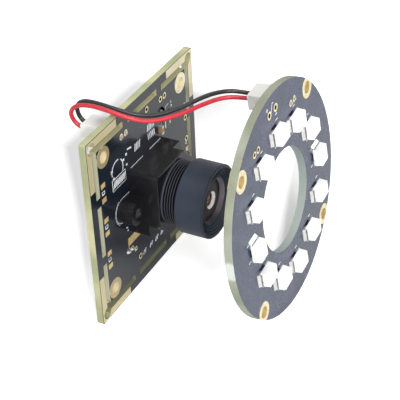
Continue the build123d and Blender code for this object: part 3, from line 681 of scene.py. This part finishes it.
ringPrint = {
    "origin": ringOrigin, "across": (0.995342, 0.019067, 0.094507),
    "up": (-0.09584, 0.089216, 0.991391), "normal": ringNormal,
    "lines": [
        (0.2, (-2.2, 19.75), (-1.4, 19.75)), (0.2, (-1.8, 20.15), (-1.8, 19.35)),
        (0.18, (-0.85, 18.75), (-0.4, 18.6), (0.35, 19.9), (0.75, 19.8)), (0.2, (0.9, 17.2), (1.6, 17.2)),
    ],
    # a short tick at two corners of each lamp
    "lampMarks": [(0.17, (-1.02, -2.35), (-0.18, -2.35)), (0.17, (0.68, 2.2), (1.52, 2.2))],
    "turnedMarks": [(0.17, (-2.32, -1.5), (-1.48, -1.5)), (0.17, (-2.02, 1.9), (-1.18, 1.9))],
}
# dark strips: a thin dark part by the right edge, and painted shadow under the white line by the small chips
cameraDarkStrips = dict(cameraPrint, arcs=[], bars=[], frames=[], finish="gapBlack",
                   lines=[(0.4, (13.0, -0.45), (15.0, -1.85)), (0.22, (7.0, 11.35), (9.6, 10.75))])
ringLampShadows = dict(ringPrint, lines=[], turnedMarks=[], finish="gapBlack",
                lampMarks=[(0.3, (-1.3, 1.62), (0.45, 1.62))])    # painted shadow: a dark strip along the top of each lamp, for the gap under its body
lampPlaces = {"circle": 14.0, "count": 12, "turned": (0, 6)}
printHeight = 0.02
arcSteps = 16


def printedPaths(p):
    # Every mark as a path: its width and its points
    paths = [(row[0], list(row[1:])) for row in p["lines"]]
    for x, y, wide, high, width in p.get("frames", []):
        sides = ((-1, -1), (1, -1), (1, 1), (-1, 1))
        corners = [(x + dx * wide / 2, y + dy * high / 2) for dx, dy in sides]
        paths.append((width, corners + corners[:1]))
    for x, y, radius, start, end, width in p.get("arcs", []):
        turns = [math.radians(start + (end - start) * i / arcSteps) for i in range(arcSteps + 1)]
        paths.append((width, [(x + radius * math.cos(a), y + radius * math.sin(a)) for a in turns]))
    for x, y, length, width, count, step, lean in p.get("bars", []):
        dx, dy = (length / 2 * f(math.radians(lean)) for f in (math.cos, math.sin))
        for i in range(count):
            paths.append((width, [(x + i * step - dx, y - dy), (x + i * step + dx, y + dy)]))
    for number in range(lampPlaces["count"]):
        angle = math.radians(360 / lampPlaces["count"] * number)
        x, y = lampPlaces["circle"] * math.cos(angle), lampPlaces["circle"] * math.sin(angle)
        marks = p.get("turnedMarks" if number in lampPlaces["turned"] else "lampMarks", [])
        paths += [(width, [(x + dx, y + dy) for dx, dy in points]) for width, *points in marks]
    return paths


def addPrint(name, p):
    # Ink lines as flattened strips that stand a hair off the board's mask
    curve = bpy.data.curves.new(name, "CURVE")
    curve.dimensions = "3D"
    curve.bevel_depth = mm / 2    # each point's radius is then the line's width in mm
    curve.bevel_resolution = 1
    curve.use_fill_caps = True
    for width, points in printedPaths(p):
        spline = curve.splines.new("POLY")
        spline.points.add(len(points) - 1)
        for point, (x, y) in zip(spline.points, points):
            point.co = (x * mm, y * mm, 0, 1)
            point.radius = width
    marks = bpy.data.objects.new(name, curve)
    bpy.context.collection.objects.link(marks)
    bpy.ops.object.select_all(action="DESELECT")
    marks.select_set(True)
    bpy.context.view_layer.objects.active = marks
    bpy.ops.object.convert(target="MESH")
    marks = bpy.context.object
    for corner in marks.data.vertices:
        corner.co.z = printHeight * mm if corner.co.z > 0 else 0
    place = Matrix([[*column, 0] for column in zip(p["across"], p["up"], p["normal"])] + [[0, 0, 0, 1]])
    marks.data.transform(Matrix.Translation(Vector(p["origin"]) * mm) @ place)
    marks.data.materials.append(materials[p.get("finish", "printWhite")])
    marks.select_set(False)
    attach(marks, "root")


prints = {"cameraBoardPrint": cameraPrint, "ringBoardPrint": ringPrint, "ringLampShadowStrips": ringLampShadows,
          "cameraBoardDarkStrips": cameraDarkStrips}
for name, row in prints.items():
    addPrint(name, row)

print("solder")
padSolder = {
    # the board's x and z, width, height and rise of each drop, in mm
    "drops": [(-8.5, -9.5, 1.35, 1.25, 0.42), (-7.2, -9.75, 0.85, 1.0, 0.34),
              (-6.0, -10.6, 0.85, 0.95, 0.3)],
    # radius and rise of each ring of a drop, as shares of the whole
    "profile": [(0.5, 0.0), (0.44, 0.14), (0.38, 0.42), (0.3, 0.72), (0.17, 0.93), (0.05, 1.0)],
    "sides": 20,
    "lean": (0.12, -0.1),    # of its top, across and up
}


def joinPieces(pieces, name, finish):
    bpy.ops.object.select_all(action="DESELECT")
    for piece in pieces:
        piece.select_set(True)
    bpy.context.view_layer.objects.active = pieces[0]
    bpy.ops.object.join()
    joined = bpy.context.object
    joined.name = name
    joined.data.materials.append(materials[finish])
    joined.select_set(False)
    return joined


def growDrop(d):
    # Grows ring by ring from a circle, flared at its foot and rounded above
    bpy.ops.object.select_all(action="DESELECT")
    bpy.ops.mesh.primitive_circle_add(vertices=d["sides"], radius=d["profile"][0][0])
    bpy.ops.object.mode_set(mode="EDIT")
    for (before, low), (after, high) in zip(d["profile"], d["profile"][1:]):
        step = Vector((*d["lean"], 1)) * (high - low)
        bpy.ops.mesh.extrude_region_move(TRANSFORM_OT_translate={"value": step})
        bpy.ops.transform.resize(value=(after / before, after / before, 1),
                                 center_override=Vector((*d["lean"], 1)) * high)
    bpy.ops.mesh.merge(type="CENTER")
    bpy.ops.mesh.select_all(action="SELECT")
    bpy.ops.mesh.normals_make_consistent(inside=False)
    bpy.ops.object.mode_set(mode="OBJECT")
    drop = bpy.context.object
    drop.modifiers.new("smooth", "SUBSURF").levels = 1
    bpy.ops.object.modifier_apply(modifier="smooth")
    bpy.ops.object.shade_smooth()
    drop.select_set(False)
    return drop


def addDrops(name, d):
    # One drop, copied to each place and stretched; its own z turns out of the board's front face
    model = growDrop(d)
    drops = []
    for x, z, width, height, out in d["drops"]:
        drop = model.copy()
        drop.data = model.data.copy()
        drop.data.transform(Matrix.Scale(mm, 4) @ Matrix(((width, 0, 0, x), (0, 0, -out, 0),
                                                          (0, height, 0, z), (0, 0, 0, 1))))
        bpy.context.collection.objects.link(drop)
        drops.append(drop)
    bpy.data.objects.remove(model)
    solder = joinPieces(drops, name, "solder")
    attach(solder, "root")


addDrops("padSolder", padSolder)

print("small chips")
smallChips = {
    # the board's x and z, length along x, height and rise of each body, in mm
    "chipBodies": {"finish": "gapBlack", "slot": "resistor_black",
                   "blocks": [(6.75, 12.15, 1.0, 0.55, 0.4), (7.75, 8.55, 0.9, 0.75, 0.4)]},
    "chipCaps": {"finish": "tin", "slot": "lead_tin",
                 "blocks": [(6.15, 12.15, 0.22, 0.58, 0.43), (7.35, 12.15, 0.22, 0.58, 0.43),
                            (7.1, 8.55, 0.5, 0.8, 0.43), (8.3, 8.55, 0.2, 0.8, 0.43)]},
}
chipRound = {"width": 0.05, "segments": 2}


def addBlocks(name, d):
    # Rounded blocks on the board's front face
    blocks = []
    for x, z, length, height, out in d["blocks"]:
        bpy.ops.object.select_all(action="DESELECT")
        bpy.ops.mesh.primitive_cube_add(size=mm)
        block = bpy.context.object
        block.data.transform(Matrix.Translation(metres((x, -out / 2, z)))
                             @ Matrix.Diagonal((length, out, height, 1)))
        soften = block.modifiers.new("soften", "BEVEL")
        soften.width = chipRound["width"] * mm
        soften.segments = chipRound["segments"]
        bpy.ops.object.modifier_apply(modifier="soften")
        blocks.append(block)
    joined = joinPieces(blocks, name, d["finish"])
    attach(joined, "root")


for name, row in smallChips.items():
    addBlocks(name, row)

print("floor and light")
studio = {
    "floorLevel": -19.0,     # mm, under the board's lower edge and the ring's rim
    "floorSize": 6,          # m
    "floorColour": (236, 236, 236),
    "floorRough": 0.9,
    "world": 0.32,
    # painted light on the paper: a glow seen by the camera, white in front of the part, less behind it where
    # the shadow falls
    "glow": (0.04, 0.76),
    "glowFade": (22.0, -8.0),    # mm behind the board's face, from the least to the most
    # painted edges of the shadow, where the glow turns the paper white again past it: share across, share
    # behind, from and to in mm
    "whiteBeyond": [(-0.78, 1.0, 14.5, 19.0), (0.0, 1.0, 38.0, 44.0), (1.0, 0.0, 62.0, 69.0)],
    # painted shade of the ring on the paper, seen through its bore: a soft band along ahead + slope * across
    "shadeSlope": 0.34,
    "shade": (22.8, 25.4, 27.0, 28.5),    # mm, from nothing to full and back
    "shadeAcross": (8, 14, 52, 58),
    "lamps": [
        # name, place in mm, size in mm, watts
        ("keyLight", (-600, -560, 400), 170, 5.5),
        ("frontLight", (-280, -840, 300), 260, 1.7),
        ("rightLight", (420, -420, 420), 300, 0.9),
        ("topLight", (-200, -60, 540), 320, 1.7),
    ],
}


def addLamp(name, place, size, power):
    data = bpy.data.lights.new(name, "AREA")
    data.shape = "DISK"
    data.size = size * mm
    data.energy = power
    lamp = bpy.data.objects.new(name, data)
    lamp.location = metres(place)
    lamp.rotation_euler = (-Vector(place)).to_track_quat("-Z", "Y").to_euler()
    bpy.context.collection.objects.link(lamp)


def addFloor(s):
    bpy.ops.mesh.primitive_plane_add(size=s["floorSize"], location=(0, 0, s["floorLevel"] * mm))
    floor = bpy.context.object
    floor.name = "floor"
    material, tree, shader = newMaterial("floorPaper")
    shader.inputs["Base Color"].default_value = tone(*s["floorColour"])
    shader.inputs["Roughness"].default_value = s["floorRough"]
    shader.inputs["Emission Color"].default_value = (1, 1, 1, 1)
    place = node(tree, "TexCoord").outputs["Object"]
    parts = split(tree, place)
    # painted light and shadow: the paper's glow, set by place
    white = spanOf(tree, parts["Y"], *s["glow"], *metres(s["glowFade"]))
    for across, behind, *fade in s["whiteBeyond"]:
        slant = vectorOf(tree, "DOT_PRODUCT", place, (across, behind, 0))
        white = mathOf(tree, "MAXIMUM", white, spanOf(tree, slant, *s["glow"], *metres(fade)))
    slanted = vectorOf(tree, "DOT_PRODUCT", place, (s["shadeSlope"], -1, 0))
    shade = mathOf(tree, "MULTIPLY", between(tree, slanted, s["shade"]),
                   between(tree, parts["X"], s["shadeAcross"]))
    white = mathOf(tree, "MULTIPLY", white, spanOf(tree, shade, 1.0, 0.0))
    seen = node(tree, "LightPath").outputs["Is Camera Ray"]
    link(tree, mathOf(tree, "MULTIPLY", seen, white), shader.inputs["Emission Strength"])
    floor.data.materials.append(material)


def addWorld(strength):
    # Lights the part plainly, and is white where it is seen, mirrored or seen through glass
    world = bpy.data.worlds.new("studioWorld")
    bpy.context.scene.world = world
    world.use_nodes = True
    tree = world.node_tree
    back = tree.nodes["Background"]
    back.inputs["Color"].default_value = (1, 1, 1, 1)
    seen = node(tree, "LightPath").outputs
    mirrored = mathOf(tree, "MAXIMUM", seen["Is Camera Ray"], seen["Is Glossy Ray"])
    either = mathOf(tree, "MAXIMUM", mirrored, seen["Is Transmission Ray"])
    link(tree, spanOf(tree, either, strength, 1.0), back.inputs["Strength"])


addFloor(studio)
addWorld(studio["world"])
for row in studio["lamps"]:
    addLamp(*row)
bpy.context.scene.view_settings.view_transform = "Standard"
